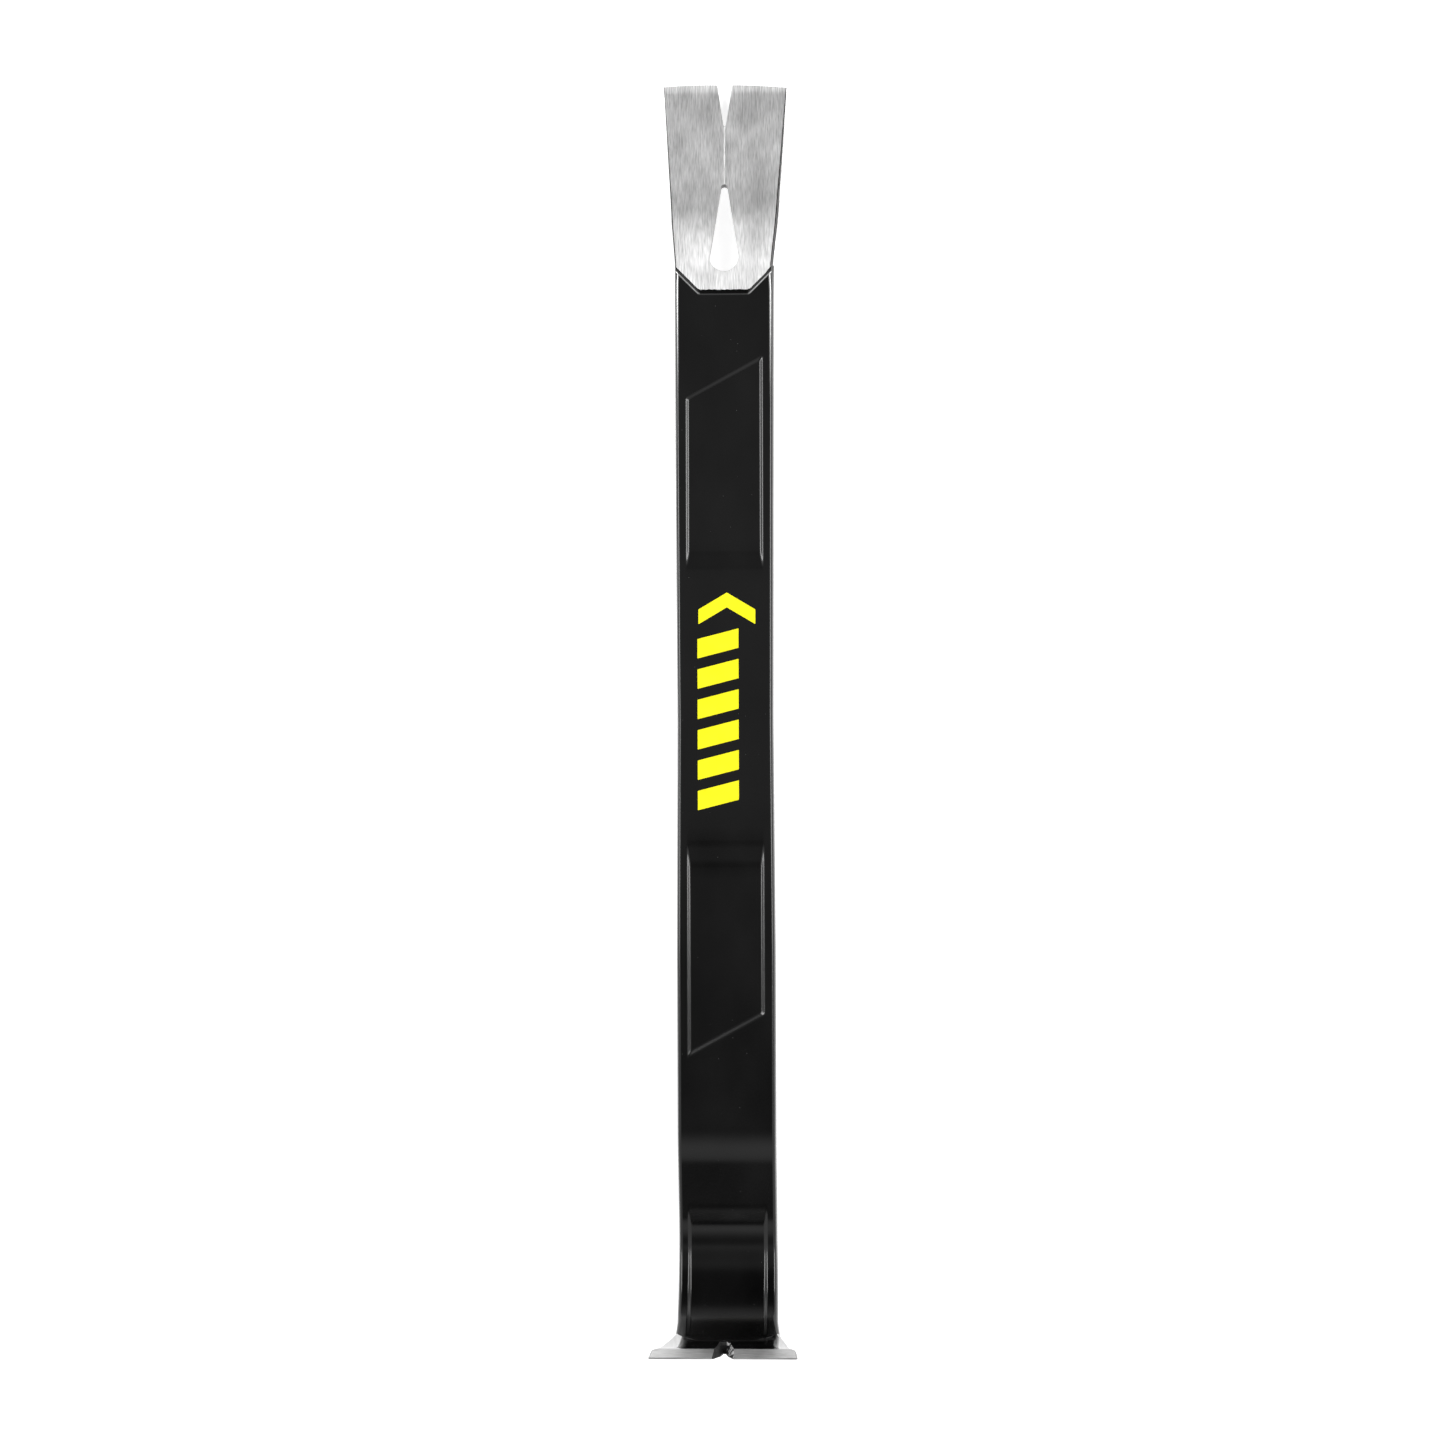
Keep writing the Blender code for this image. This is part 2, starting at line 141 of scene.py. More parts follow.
# Nail slots, and the thin groove between the straight claw's two.
CLAW_NOTCH_HALF, CLAW_NOTCH_DEPTH, CLAW_NOTCH_ROOT_RADIUS = 0.0036, 0.0204, 0.0006
CLAW_NOTCH_LEFT_RADIUS, CLAW_NOTCH_RIGHT_RADIUS, CLAW_NOTCH_LAP = 0.0011, 0.0005, 0.0001
TEAR_CENTRE, TEAR_RADIUS, TEAR_TOP, TEAR_TOP_RADIUS = 0.2209, 0.00685, CLAW_TIP - 0.0500, 0.0016
HOOK_NOTCH_HALF, HOOK_NOTCH_ROOT_HALF = 0.0045, 0.0006
HOOK_NOTCH_DEPTH, HOOK_NOTCH_COUNTERSINK = 0.0200, 0.0019
CREASE_HALF, CREASE_DEPTH, CREASE_FADE = 0.00030, 0.00011, 0.001
OVERCUT, THROUGH = 0.004, 0.06

# The layers. Bare steel lies BARE_INSET inside the shape, and the core under the coat CORE_INSET.
# The coat is thinner near its ends, and its edges waver by about the JAG values.
COAT_THICKNESS, COAT_END_THICKNESS, COAT_END_ZONE = 0.00012, 0.00003, 0.0015
BARE_INSET, CORE_INSET, CORE_STEP, COAT_LAP = 0.00004, 0.00040, 0.0004, 0.0008
JAG_LEAST, JAG_MORE = 0.00002, 0.00014

# Printed marks.
BAR_COUNT, BAR_SLANT, CHEVRON_RISE = 6, 0.0050, 0.0080
INK_LOW, INK_HIGH, INK_CORNER, INK_CORNER_POINTS = 0.000005, 0.00003, 0.0003, 5

# The frame gives the place. In its flat coordinates the first printed bar starts at BAR_FIRST and
# lies PRINT_GAP above the shank.
PRINT_GAP, BAR_FIRST = 0.0003, -0.0420
SHANK_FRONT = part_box("print_bar_1")[0].z - PRINT_GAP
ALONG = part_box("print_bar_1")[0].y - BAR_FIRST

# ---- the side profile -------------------------------------------------------------------------

# A run that curves less than this counts as straight.
STRAIGHT = 1e-9


def along(table, u):
    """The value at u, on the straight lines between the points of a table."""
    return np.interp(u, [point[0] for point in table], [point[1] for point in table])


def arc_end(y, z, angle, bend, length):
    """Where an arc that starts at (y, z, angle) ends."""
    after = angle + bend * length
    if abs(bend) < STRAIGHT:
        return y + math.cos(angle) * length, z + math.sin(angle) * length, after
    return (
        y + (math.sin(after) - math.sin(angle)) / bend,
        z - (math.cos(after) - math.cos(angle)) / bend,
        after,
    )


def profile_segments():
    """(u, y, z, angle, curvature) where each stretch of the side profile starts, sorted by u."""
    found = [(HEEL_BEND_START, HEEL_BEND_START, 0.0, 0.0, 0.0)]
    y, z, angle, u = CLAW_BEND_START, 0.0, 0.0, CLAW_BEND_START
    for length, turn in CLAW_RUNS:
        bend = math.radians(turn) / length
        found.append((u, y, z, angle, bend))
        y, z, angle = arc_end(y, z, angle, bend, length)
        u += length
    y, z, angle, u = HEEL_BEND_START, 0.0, 0.0, HEEL_BEND_START
    for length, turn in HOOK_RUNS:
        bend = -math.radians(turn) / length
        y, z, angle = arc_end(y, z, angle, bend, -length)
        u -= length
        found.append((u, y, z, angle, bend))
    return np.array(sorted(found))


PROFILE = profile_segments()


def bent(points):
    """Flat points (x, u, t) as an (n, 3) array, moved to where the bent bar has them."""
    x, u, t = points.T
    which = np.clip(np.searchsorted(PROFILE[:, 0], u, side="right") - 1, 0, len(PROFILE) - 1)
    start, y, z, angle, bend = PROFILE[which].T
    run = u - start
    after = angle + bend * run
    curved = np.abs(bend) > STRAIGHT
    safe = np.where(curved, bend, 1.0)
    y = y + np.where(curved, (np.sin(after) - np.sin(angle)) / safe, np.cos(angle) * run)
    z = z + np.where(curved, (np.cos(angle) - np.cos(after)) / safe, np.sin(angle) * run)
    return np.stack([x, y - np.sin(after) * t + ALONG, z + np.cos(after) * t + SHANK_FRONT], axis=1)


# ---- surface detail, as depths below the flat blank's front -------------------------------------


def ramp(p, round_off):
    """0 below p = 0 and p above it, with a rounded foot."""
    curved = (p + round_off) ** 2 / (4 * round_off)
    return np.where(p < -round_off, 0.0, np.where(p > round_off, p, curved))


def rounded_step(p, round_off=0.24):
    """Rises from 0 at p = 0 to 1 at p = 1, with both edges rounded."""
    return ramp(p, round_off) - ramp(p - 1, round_off)


def soft_least(a, b, blend=0.5):
    """The lesser of a and b, with the crease between them rounded."""
    share = np.clip(0.5 + 0.5 * (b - a) / blend, 0, 1)
    return b + (a - b) * share - blend * share * (1 - share)


def pocket_depth(x, u, pocket, inset):
    """How deep the pocket is at (x, u). Its ends are straight lines that may slant across."""
    width = 2 * pocket["half"]
    place = (x + pocket["half"]) / width

    def past_end(end, way, slope):
        left, right = end
        line = left + (right - left) * place
        lean = math.atan2(right - left, width)
        return (way * (u - line) * math.cos(lean) + inset) / slope

    side = (pocket["half"] + inset - np.abs(x)) / POCKET_WALL
    low = past_end(pocket["low"], 1, pocket["low_slope"])
    high = past_end(pocket["high"], -1, pocket["high_slope"])
    return POCKET_DEPTH * rounded_step(soft_least(side, soft_least(low, high)))


def shank_pockets(x, u, inset):
    return pocket_depth(x, u, UPPER_POCKET, inset) + pocket_depth(x, u, LOWER_POCKET, inset)


def shoulder(x):
    """How far the straight claw's ground face is set back at x from its end in the middle."""
    return ramp(np.abs(x) - GRIND_END_HALF, SHOULDER_ROUND)


def past_step(x, u):
    """How far (x, u) is past the upper edge of the step where the ground face starts."""
    return u - (GRIND_END - GRIND_SLOPE) - shoulder(x)


def grind_depth(x, u):
    return GRIND_DEPTH * rounded_step(past_step(x, u) / GRIND_SLOPE, GRIND_ROUND)


def bevel_depth(u):
    """The hook claw's sharpening bevel. The straight claw's edge is ground a little hollow."""
    hook = HOOK_BEVEL_DROP * ramp((HOOK_BEVEL - u) / (HOOK_BEVEL - HOOK_TIP), HOOK_BEVEL_ROUND)
    return hook - HOLLOW_RISE * ramp((u - CLAW_TIP) / HOLLOW_LENGTH + 1, HOLLOW_ROUND)


def crease_depth(x, u):
    """The thin groove between the straight claw's notch and its teardrop slot."""
    ends = np.minimum(u - TEAR_TOP, CLAW_TIP - CLAW_NOTCH_DEPTH - u) / CREASE_FADE + 1
    return CREASE_DEPTH * np.clip(1 - np.abs(x) / CREASE_HALF, 0, 1) * np.clip(ends, 0, 1)


# ---- rows and rings of the fine mesh ------------------------------------------------------------

# The slope across the bar of the slanted pocket ends, and the middle of each end.
SLANT = (UPPER_POCKET["high"][1] - UPPER_POCKET["high"][0]) / (2 * UPPER_POCKET["half"])
UPPER_SLANT_AT = sum(UPPER_POCKET["high"]) / 2
LOWER_SLANT_AT = sum(LOWER_POCKET["low"]) / 2

# Where rows follow an end that isn't straight across: (middle, reach, fade below, fade above).
UPPER_SLANT_ROWS = (UPPER_SLANT_AT, 0.004, 0.032, 0.032)
LOWER_SLANT_ROWS = (LOWER_SLANT_AT, 0.004, 0.032, 0.032)
STEP_ROWS = (GRIND_END - 0.001, 0.003, 0.030, 0.048)
HOOK_COAT_ROWS = (COAT_HOOK_MIDDLE, 0.001, 0.010, 0.008)

# Where the rows get closer or wider: (end of the stretch, spacing in it).
STRETCHES = (
    (HOOK_BEVEL + 0.0010, 0.0005),
    (COAT_HOOK_MIDDLE - 0.0010, 0.0008),
    (COAT_HOOK_MIDDLE + 0.0010, 0.0005),
    (HOOK_POCKET_LOW - 0.0008, 0.0010),
    (HOOK_POCKET_LOW + 0.0030, 0.00027),
    (HOOK_POCKET_HIGH - 0.0110, 0.00125),
    (HOOK_POCKET_HIGH + 0.0020, 0.00055),
    (HEEL_BEND_START + 0.0020, 0.0011),
    (LOWER_SLANT_AT - 0.0009, 0.0040),
    (LOWER_SLANT_AT + 0.0030, 0.00027),
    (LOWER_POCKET["high"][0] - LOWER_RAMP - 0.0012, 0.0050),
    (LOWER_POCKET["high"][0] + 0.0012, 0.0006),
    (UPPER_POCKET["low"][0] - 0.0012, 0.0060),
    (UPPER_POCKET["low"][0] + UPPER_RAMP + 0.0012, 0.00048),
    (UPPER_SLANT_AT - 0.0030, 0.0050),
    (UPPER_SLANT_AT + 0.0009, 0.00027),
    (GRIND_END - 0.0032, 0.0040),
    (GRIND_END + 0.0010, 0.0002),
    (CLAW_TIP - 0.0060, 0.0011),
    (CLAW_TIP, 0.0005),
)

# A ring starts in the middle of the front and goes out over columns at these x, in mm, and then at
# these shares of what is left. It goes down over the edge and comes back in over the bar's back.
MM = 0.001
INNER_COLUMNS = np.concatenate([
    np.array([0.0, 0.15, 0.3, 0.5, 0.9]), np.arange(1.8, 15.5, 1.35), np.arange(15.9, 19.81, 0.3)
]) * MM
INNERMOST = INNER_COLUMNS[-1]
OUTER_SHARES = np.array([0.15, 0.32, 0.48, 0.62, 0.74, 0.84, 0.92, 0.97, 1.0])
TOP_ARC = np.radians([15, 30, 45, 58, 70.53, 80, 90])
BACK_ARC = np.radians([90, 68, 48, 28, 12, 0])
FRONT = [("front", x) for x in INNER_COLUMNS] + [("front_out", share) for share in OUTER_SHARES]
EDGE = [("top_arc", angle) for angle in TOP_ARC] + [("lip", 1), ("band", 1), ("band", -1)]
EDGE += [("back_arc", angle) for angle in BACK_ARC]
BACK = [("back_out", share) for share in OUTER_SHARES[-2::-1]]
BACK += [("back", x) for x in INNER_COLUMNS[::-1]]
HALF_RING = FRONT + EDGE + BACK

# The whole ring, by +X and back by -X: (kind of point, its value, sign of x).
RING = [(kind, value, 1) for kind, value in HALF_RING]
RING += [(kind, value, -1) for kind, value in HALF_RING[-2:0:-1]]


def rows():
    """The u of each row of the mesh in its middle, closer together where the shape changes."""
    found, start = [HOOK_TIP], HOOK_TIP
    for end, spacing in STRETCHES:
        count = max(1, round((end - start) / spacing))
        found += list(np.linspace(start, end, count + 1)[1:])
        start = end
    return np.array(found)


def nearness(s, middle, reach, fade_low, fade_high):
    """1 within reach of the middle, falling to 0 over a fade on each side."""
    low = 1 - np.clip((middle - reach - s) / fade_low, 0, 1)
    high = 1 - np.clip((s - middle - reach) / fade_high, 0, 1)
    return np.minimum(low, high)


def row_at(s, x):
    """The u of row s at x: rows follow the slanted pocket ends, the coat's ends and the worn tip."""
    slanted = nearness(s, *UPPER_SLANT_ROWS) + nearness(s, *LOWER_SLANT_ROWS)
    stepped = nearness(s, *STEP_ROWS)
    hooked = nearness(s, *HOOK_COAT_ROWS)
    edge = ramp(np.abs(x) - COAT_HOOK_HALF, COAT_HOOK_ROUND)
    wear_and_highlight = WORN_CURVE * (x / WORN_HALF) ** 2 + WORN_LEAN * x / WORN_HALF
    worn = -wear_and_highlight * np.clip(1 - (CLAW_TIP - s) / WORN_LENGTH, 0, 1)
    return s + SLANT * x * slanted + shoulder(x) * stepped + 0.5 * edge * hooked + worn


def draft(u, sign):
    """How much narrower the front is than the parting line, on the side of x that sign says."""
    return along(RIGHT_DRAFTS, u) if sign > 0 else np.full_like(u, DRAFT)


def front_point(kind, value, u, sign, inset, side, corner):
    """(x, t) of a ring point on the front or on its rounded edge."""
    if kind == "top_arc":
        x = side - corner + corner * math.sin(value)
        level = -inset - corner + corner * math.cos(value)
        return x, np.minimum(level, -grind_depth(x, u) - bevel_depth(u) - inset)
    if kind == "front":
        x = np.full_like(u, value)
    else:
        x = INNERMOST + (side - corner - INNERMOST) * value
    t = np.minimum(-inset, -grind_depth(x, u) - bevel_depth(u) - inset)
    t = t - shank_pockets(sign * x, u, inset) - pocket_depth(x, u, HOOK_POCKET, inset)
    return x, t - crease_depth(x, u)


def back_point(kind, value, u, sign, inset, side, corner, bottom):
    """(x, t) of a ring point on the back or on its rounded edge."""
    if kind == "back_arc":
        return side - corner + corner * math.sin(value), bottom + corner * (1 - math.cos(value))
    if kind == "back":
        x = np.full_like(u, value)
    else:
        x = INNERMOST + (side - corner - INNERMOST) * value
    return x, bottom + shank_pockets(sign * x, u, inset)


def ring_point(kind, value, u, sign, inset):
    """(x, t) of one point of the ring, for every u. The cross-section is moved in by inset."""
    half = along(HALF_WIDTHS, u) - inset
    side = half - draft(u, sign)
    corner = np.maximum(along(CORNERS, u) - inset, LEAST_CORNER)
    if kind in ("front", "front_out", "top_arc"):
        return front_point(kind, value, u, sign, inset, side, corner)
    top = -(grind_depth(side, u) + bevel_depth(u)) - inset
    bottom = inset - along(THICKNESSES, u)
    left_over = top - bottom
    if kind in ("back", "back_out", "back_arc"):
        corner = np.minimum(np.minimum(corner, MOST_BACK_CORNER), BACK_CORNER_SHARE * left_over)
        return back_point(kind, value, u, sign, inset, side, corner, bottom)
    band = np.minimum(PARTING_BAND, PARTING_SHARE * left_over)
    t = bottom + left_over / 2 + value * band
    if kind == "band":
        return half, t
    return half - LIP_SHARE * (half - side), t + LIP_SHARE * (top - corner - t)


def ring_column(kind, value, sign, s, inset):
    """The flat points of one ring point for every row s, as an (n, 3) array."""
    x, _ = ring_point(kind, value, s, sign, inset)
    u = row_at(s, sign * x)
    x, t = ring_point(kind, value, u, sign, inset)
    stray = along(STRAYS, u) * (x / along(HALF_WIDTHS, u)) ** 2
    return np.stack([sign * x + stray, u, t], axis=1)


def skin(s, inset):
    """The flat surface over rows s, as a (rows, ring points, 3) array. inset is one number per
    row."""
    return np.stack([ring_column(*point, s, inset) for point in RING], axis=1)


# ---- meshes -----------------------------------------------------------------------------------

# Edges over SHARP_ANGLE degrees stay sharp. The UV map is the flat x and u, times FLAT_MAP_SCALE.
SHARP_ANGLE = 38.0
FLAT_MAP_SCALE = 10


def grid_faces(count, around, first=0):
    """Quads over a closed ring of around points, for count rows."""
    row, col = np.meshgrid(np.arange(count - 1), np.arange(around), indexing="ij")
    after = (col + 1) % around
    corners = (
        row * around + col,
        (row + 1) * around + col,
        (row + 1) * around + after,
        row * around + after,
    )
    return (np.stack(corners, axis=-1).reshape(-1, 4) + first).tolist()


def end_faces(count, around):
    """The two faces that close a stack of count rings."""
    last = (count - 1) * around
    return [list(range(around)), list(range(last, last + around))]


def joining_faces(first_row, second_row, around):
    """Quads from one ring of points to another."""
    faces = []
    for col in range(around):
        after = (col + 1) % around
        corners = ((first_row, col), (first_row, after), (second_row, after), (second_row, col))
        faces.append([row * around + place for row, place in corners])
    return faces


def face_outwards(mesh):
    bm = bmesh.new()
    bm.from_mesh(mesh)
    bmesh.ops.recalc_face_normals(bm, faces=bm.faces)
    bm.to_mesh(mesh)
    bm.free()


def object_from(name, points, faces, materials, indices=None):
    """An object in the scene. indices gives each face its place in materials."""
    mesh = bpy.data.meshes.new(name)
    mesh.from_pydata(points.tolist(), [], faces)
    for material in materials:
        mesh.materials.append(material)
    if indices is not None:
        mesh.polygons.foreach_set("material_index", indices)
    made = bpy.data.objects.new(name, mesh)
    bpy.context.scene.collection.objects.link(made)
    face_outwards(mesh)
    return made


def finish_piece(piece, node):
    """Bends a flat piece, keeps its flat coordinates for its material, and hangs it in the frame."""
    mesh = piece.data
    flat = np.empty(len(mesh.vertices) * 3)
    mesh.vertices.foreach_get("co", flat)
    mesh.attributes.new("flat", "FLOAT_VECTOR", "POINT").data.foreach_set("vector", flat)
    flat = flat.reshape(-1, 3)
    corner_of = np.empty(len(mesh.loops), dtype=np.int32)
    mesh.loops.foreach_get("vertex_index", corner_of)
    flat_map = flat[corner_of, :2] * FLAT_MAP_SCALE
    mesh.uv_layers.new(name="flat_map").data.foreach_set("uv", flat_map.ravel())
    mesh.vertices.foreach_set("co", bent(flat).ravel())
    mesh.polygons.foreach_set("use_smooth", np.ones(len(mesh.polygons), dtype=bool))
    mesh.set_sharp_from_angle(angle=math.radians(SHARP_ANGLE))
    mesh.update()
    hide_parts(node)
    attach(piece, "root")


def cut(target, rings, material_index):
    """Cuts the solid between rings of points out of target. Its walls get material_index."""
    around = len(rings[0])
    points = np.array([corner for ring in rings for corner in ring])
    faces = grid_faces(len(rings), around) + end_faces(len(rings), around)
    indices = np.full(len(faces), material_index, dtype=np.int32)
    cutter = object_from("cutter", points, faces, target.data.materials, indices)
    boolean = target.modifiers.new("cut", "BOOLEAN")
    boolean.operation, boolean.solver, boolean.object = "DIFFERENCE", "EXACT", cutter
    graph = bpy.context.evaluated_depsgraph_get()
    result = bpy.data.meshes.new_from_object(target.evaluated_get(graph))
    target.modifiers.clear()
    target.data = result
    bpy.data.objects.remove(cutter)


# ---- slots ------------------------------------------------------------------------------------


def arc(centre_x, centre_u, radius, first, last, count):
    """Points (x, u) of an arc, with angles in degrees."""
    angles = np.radians(np.linspace(first, last, count))
    return [(centre_x + radius * math.cos(a), centre_u + radius * math.sin(a)) for a in angles]


def straight_through(outline):
    return [[(x, u, t) for x, u in outline] for t in (-THROUGH, THROUGH)]


def claw_notch():
    """A V with a rounded root, and mouth corners rounded by use."""
    root, mouth, wide = CLAW_TIP - CLAW_NOTCH_DEPTH, CLAW_TIP + OVERCUT, CLAW_NOTCH_HALF
    foot, lap = CLAW_NOTCH_ROOT_RADIUS, CLAW_NOTCH_LAP
    left, right = CLAW_NOTCH_LEFT_RADIUS, CLAW_NOTCH_RIGHT_RADIUS
    outline = arc(0, root + foot, foot, 190, 350, 9)
    outline += arc(wide - lap + right, CLAW_TIP - right, right, 172, 90, 5)
    outline += [(wide + right, mouth), (-wide - left, mouth)]
    outline += arc(-wide + lap - left, CLAW_TIP - left, left, 90, 8, 7)
    return straight_through(outline)


def teardrop():
    """A round end and a small round top, joined by their tangents."""
    top_centre = TEAR_TOP - TEAR_TOP_RADIUS
    lean = math.degrees(math.asin((TEAR_RADIUS - TEAR_TOP_RADIUS) / (top_centre - TEAR_CENTRE)))
    outline = arc(0, TEAR_CENTRE, TEAR_RADIUS, 180 - lean, 360 + lean, 61)
    outline += arc(0, top_centre, TEAR_TOP_RADIUS, lean, 180 - lean, 21)
    return straight_through(outline)


def hook_notch():
    """The V of the hook claw, wider on its inner side."""
    root, mouth = HOOK_TIP + HOOK_NOTCH_DEPTH, HOOK_TIP - OVERCUT
    wide = HOOK_NOTCH_HALF + (HOOK_NOTCH_HALF - HOOK_NOTCH_ROOT_HALF) * OVERCUT / HOOK_NOTCH_DEPTH
    thick = float(along(THICKNESSES, HOOK_BEVEL))
    most = HOOK_NOTCH_COUNTERSINK * (1 + OVERCUT / thick)

    def outline(wider):
        narrow = HOOK_NOTCH_ROOT_HALF + wider
        return [
            (wide + wider, mouth),
            (narrow, root + wider),
            (-narrow, root + wider),
            (-wide - wider, mouth),
        ]

    levels = ((-THROUGH, 0.0), (-thick, 0.0), (OVERCUT, most))
    return [[(x, u, t) for x, u in outline(wider)] for t, wider in levels]


# ---- node helpers -----------------------------------------------------------------------------


def new_material(name):
    made = bpy.data.materials.new(name)
    made.use_nodes = True
    return made, made.node_tree, made.node_tree.nodes["Principled BSDF"]


def plug(tree, socket, value):
    """Links a socket to another node's output, or sets it to a number or a colour."""
    if isinstance(value, bpy.types.NodeSocket):
        tree.links.new(value, socket)
    else:
        socket.default_value = value


def add(tree, kind, settings=None, **inputs):
    """A new node. Each input is a number or another node's output."""
    made = tree.nodes.new(kind)
    for key, value in (settings or {}).items():
        setattr(made, key, value)
    for key, value in inputs.items():
        plug(tree, made.inputs[key.replace("_", " ")], value)
    return made


def maths(tree, operation, a, b=0.0):
    made = tree.nodes.new("ShaderNodeMath")
    made.operation = operation
    plug(tree, made.inputs[0], a)
    plug(tree, made.inputs[1], b)
    return made.outputs[0]


def total(tree, first, *others):
    for other in others:
        first = maths(tree, "ADD", first, other)
    return first


def times(tree, a, b):
    return maths(tree, "MULTIPLY", a, b)


def spread(tree, value, low, high, to_low, to_high):
    """The value's stretch from low to high, mapped to the stretch from to_low to to_high."""
    made = add(
        tree, "ShaderNodeMapRange", Value=value, From_Min=low, From_Max=high,
        To_Min=to_low, To_Max=to_high,
    )
    return made.outputs["Result"]


def varied(tree, noise, low, high):
    """Noise mapped to the stretch from low to high. It seldom leaves 0.3 to 0.7."""
    return spread(tree, noise, 0.3, 0.7, low, high)


def flat_place(tree):
    """The piece's flat coordinates (x, u, t)."""
    return add(tree, "ShaderNodeAttribute", {"attribute_name": "flat"}).outputs["Vector"]


def grain(tree, per_metre, detail, rough=0.5):
    """Noise over the piece's flat coordinates, with its own number of grains per metre each way."""
    scaled = add(tree, "ShaderNodeVectorMath", {"operation": "MULTIPLY"})
    plug(tree, scaled.inputs[0], flat_place(tree))
    plug(tree, scaled.inputs[1], per_metre)
    noise = add(
        tree, "ShaderNodeTexNoise", Vector=scaled.outputs["Vector"], Scale=1.0,
        Detail=detail, Roughness=rough,
    )
    return noise.outputs["Fac"]


def grey(tree, value):
    """A grey colour whose three channels are the value."""
    made = tree.nodes.new("ShaderNodeCombineColor")
    for socket in made.inputs:
        plug(tree, socket, value)
    return made.outputs["Color"]


def blend(tree, share, first, second):
    """A colour from first, at a share of 0, to second, at 1. The node's colour sockets have the
    same names as its number sockets, so they go by their places."""
    made = add(tree, "ShaderNodeMix", {"data_type": "RGBA"}, Factor=share)
    plug(tree, made.inputs[6], first)
    plug(tree, made.inputs[7], second)
    return made.outputs[2]


def emboss(tree, shader, height, strength, distance):
    """Bumps the surface by height, up to about distance in metres."""
    bump = add(tree, "ShaderNodeBump", Strength=strength, Distance=distance, Height=height)
    plug(tree, shader.inputs["Normal"], bump.outputs["Normal"])


# ---- materials --------------------------------------------------------------------------------

# Painted shade: the straight claw's face is a little darker in a band round the end of its bend.
SHADE_BAND = CLAW_BEND_START + 0.044
SHADE_REACH, SHADE_FADED, SHADE_TONE = 0.004, 0.026, 0.77

# The x where the painted glint on the hook notch's walls starts, and where it is full.
GLINT_FROM, GLINT_FULL = 0.0008, 0.0016


def ground_steel(name, fine, coarse, contrast, colour, roughness, anisotropic, turned, depth):
    """Belt-ground steel. fine and coarse are the streaks' grains per metre along x, u and t."""
    made, tree, shader = new_material(name)
    streaks = grain(tree, fine, 2.0, 0.55)
    broad = grain(tree, coarse, 2.0)
    patches = grain(tree, (95.0, 60.0, 95.0), 2.0)
    tone = total(
        tree,
        varied(tree, streaks, -contrast, contrast),
        varied(tree, broad, -0.04, 0.04),
        varied(tree, patches, colour - 0.04, colour + 0.04),
    )
    # Painted shade: the base colour is darkened in a band across the straight claw's face.
    place = add(tree, "ShaderNodeSeparateXYZ", Vector=flat_place(tree))
    away = maths(tree, "ABSOLUTE", maths(tree, "SUBTRACT", place.outputs["Y"], SHADE_BAND))
    painted_shade = spread(tree, away, SHADE_REACH, SHADE_FADED, SHADE_TONE, 1.0)
    plug(tree, shader.inputs["Base Color"], grey(tree, times(tree, tone, painted_shade)))
    waver = 0.08 * roughness
    rough = total(
        tree,
        varied(tree, patches, roughness - waver, roughness + waver),
        varied(tree, streaks, waver, -waver),
    )
    plug(tree, shader.inputs["Roughness"], rough)
    shader.inputs["Metallic"].default_value = 1.0
    shader.inputs["Anisotropic"].default_value = anisotropic
    shader.inputs["Anisotropic Rotation"].default_value = 0.25 if turned else 0.0
    tangent = add(tree, "ShaderNodeTangent", {"direction_type": "UV_MAP", "uv_map": "flat_map"})
    plug(tree, shader.inputs["Tangent"], tangent.outputs["Tangent"])
    emboss(tree, shader, total(tree, streaks, broad), strength=0.6, distance=depth)
    return made


def dust(tree):
    """1 on a speck of dust and 0 beside it. Some cells of a Voronoi pattern have a speck."""
    cells = add(tree, "ShaderNodeTexVoronoi", Vector=flat_place(tree), Scale=300.0)
    picked = add(tree, "ShaderNodeSeparateColor", Color=cells.outputs["Color"])
    close = spread(tree, cells.outputs["Distance"], 0.03, 0.06, 1.0, 0.0)
    return times(tree, close, maths(tree, "GREATER_THAN", picked.outputs[0], 0.72))


def black_coat():
    """Baked black enamel: faint orange peel, a little dust, a gloss that varies softly, and a
    painted highlight on the rims beside the straight claw, a bright metallic line where the mesh's
    attribute says."""
    made, tree, shader = new_material("black_enamel")
    peel = grain(tree, (900.0, 900.0, 900.0), 2.0)
    swell = grain(tree, (150.0, 150.0, 150.0), 2.0)
    haze = grain(tree, (30.0, 18.0, 30.0), 3.0)
    speck = dust(tree)
    # Painted highlight: this mask lightens the enamel to a metallic grey along the rims.
    wear_and_highlight = add(tree, "ShaderNodeAttribute", {"attribute_name": "wear_and_highlight"}).outputs["Fac"]
    tone = total(
        tree,
        varied(tree, haze, 0.0010, 0.0040),
        times(tree, speck, 0.055),
        times(tree, wear_and_highlight, 0.55),
    )
    plug(tree, shader.inputs["Base Color"], grey(tree, tone))
    plug(tree, shader.inputs["Metallic"], wear_and_highlight)
    rough = total(
        tree,
        varied(tree, haze, 0.155, 0.185),
        spread(tree, peel, 0.35, 0.65, -0.006, 0.006),
        times(tree, wear_and_highlight, 0.2),
        times(tree, speck, 0.3),
    )
    plug(tree, shader.inputs["Roughness"], rough)
    height = total(tree, peel, times(tree, swell, 2.0), times(tree, speck, 1.5))
    emboss(tree, shader, height, strength=0.25, distance=0.000012)
    return made


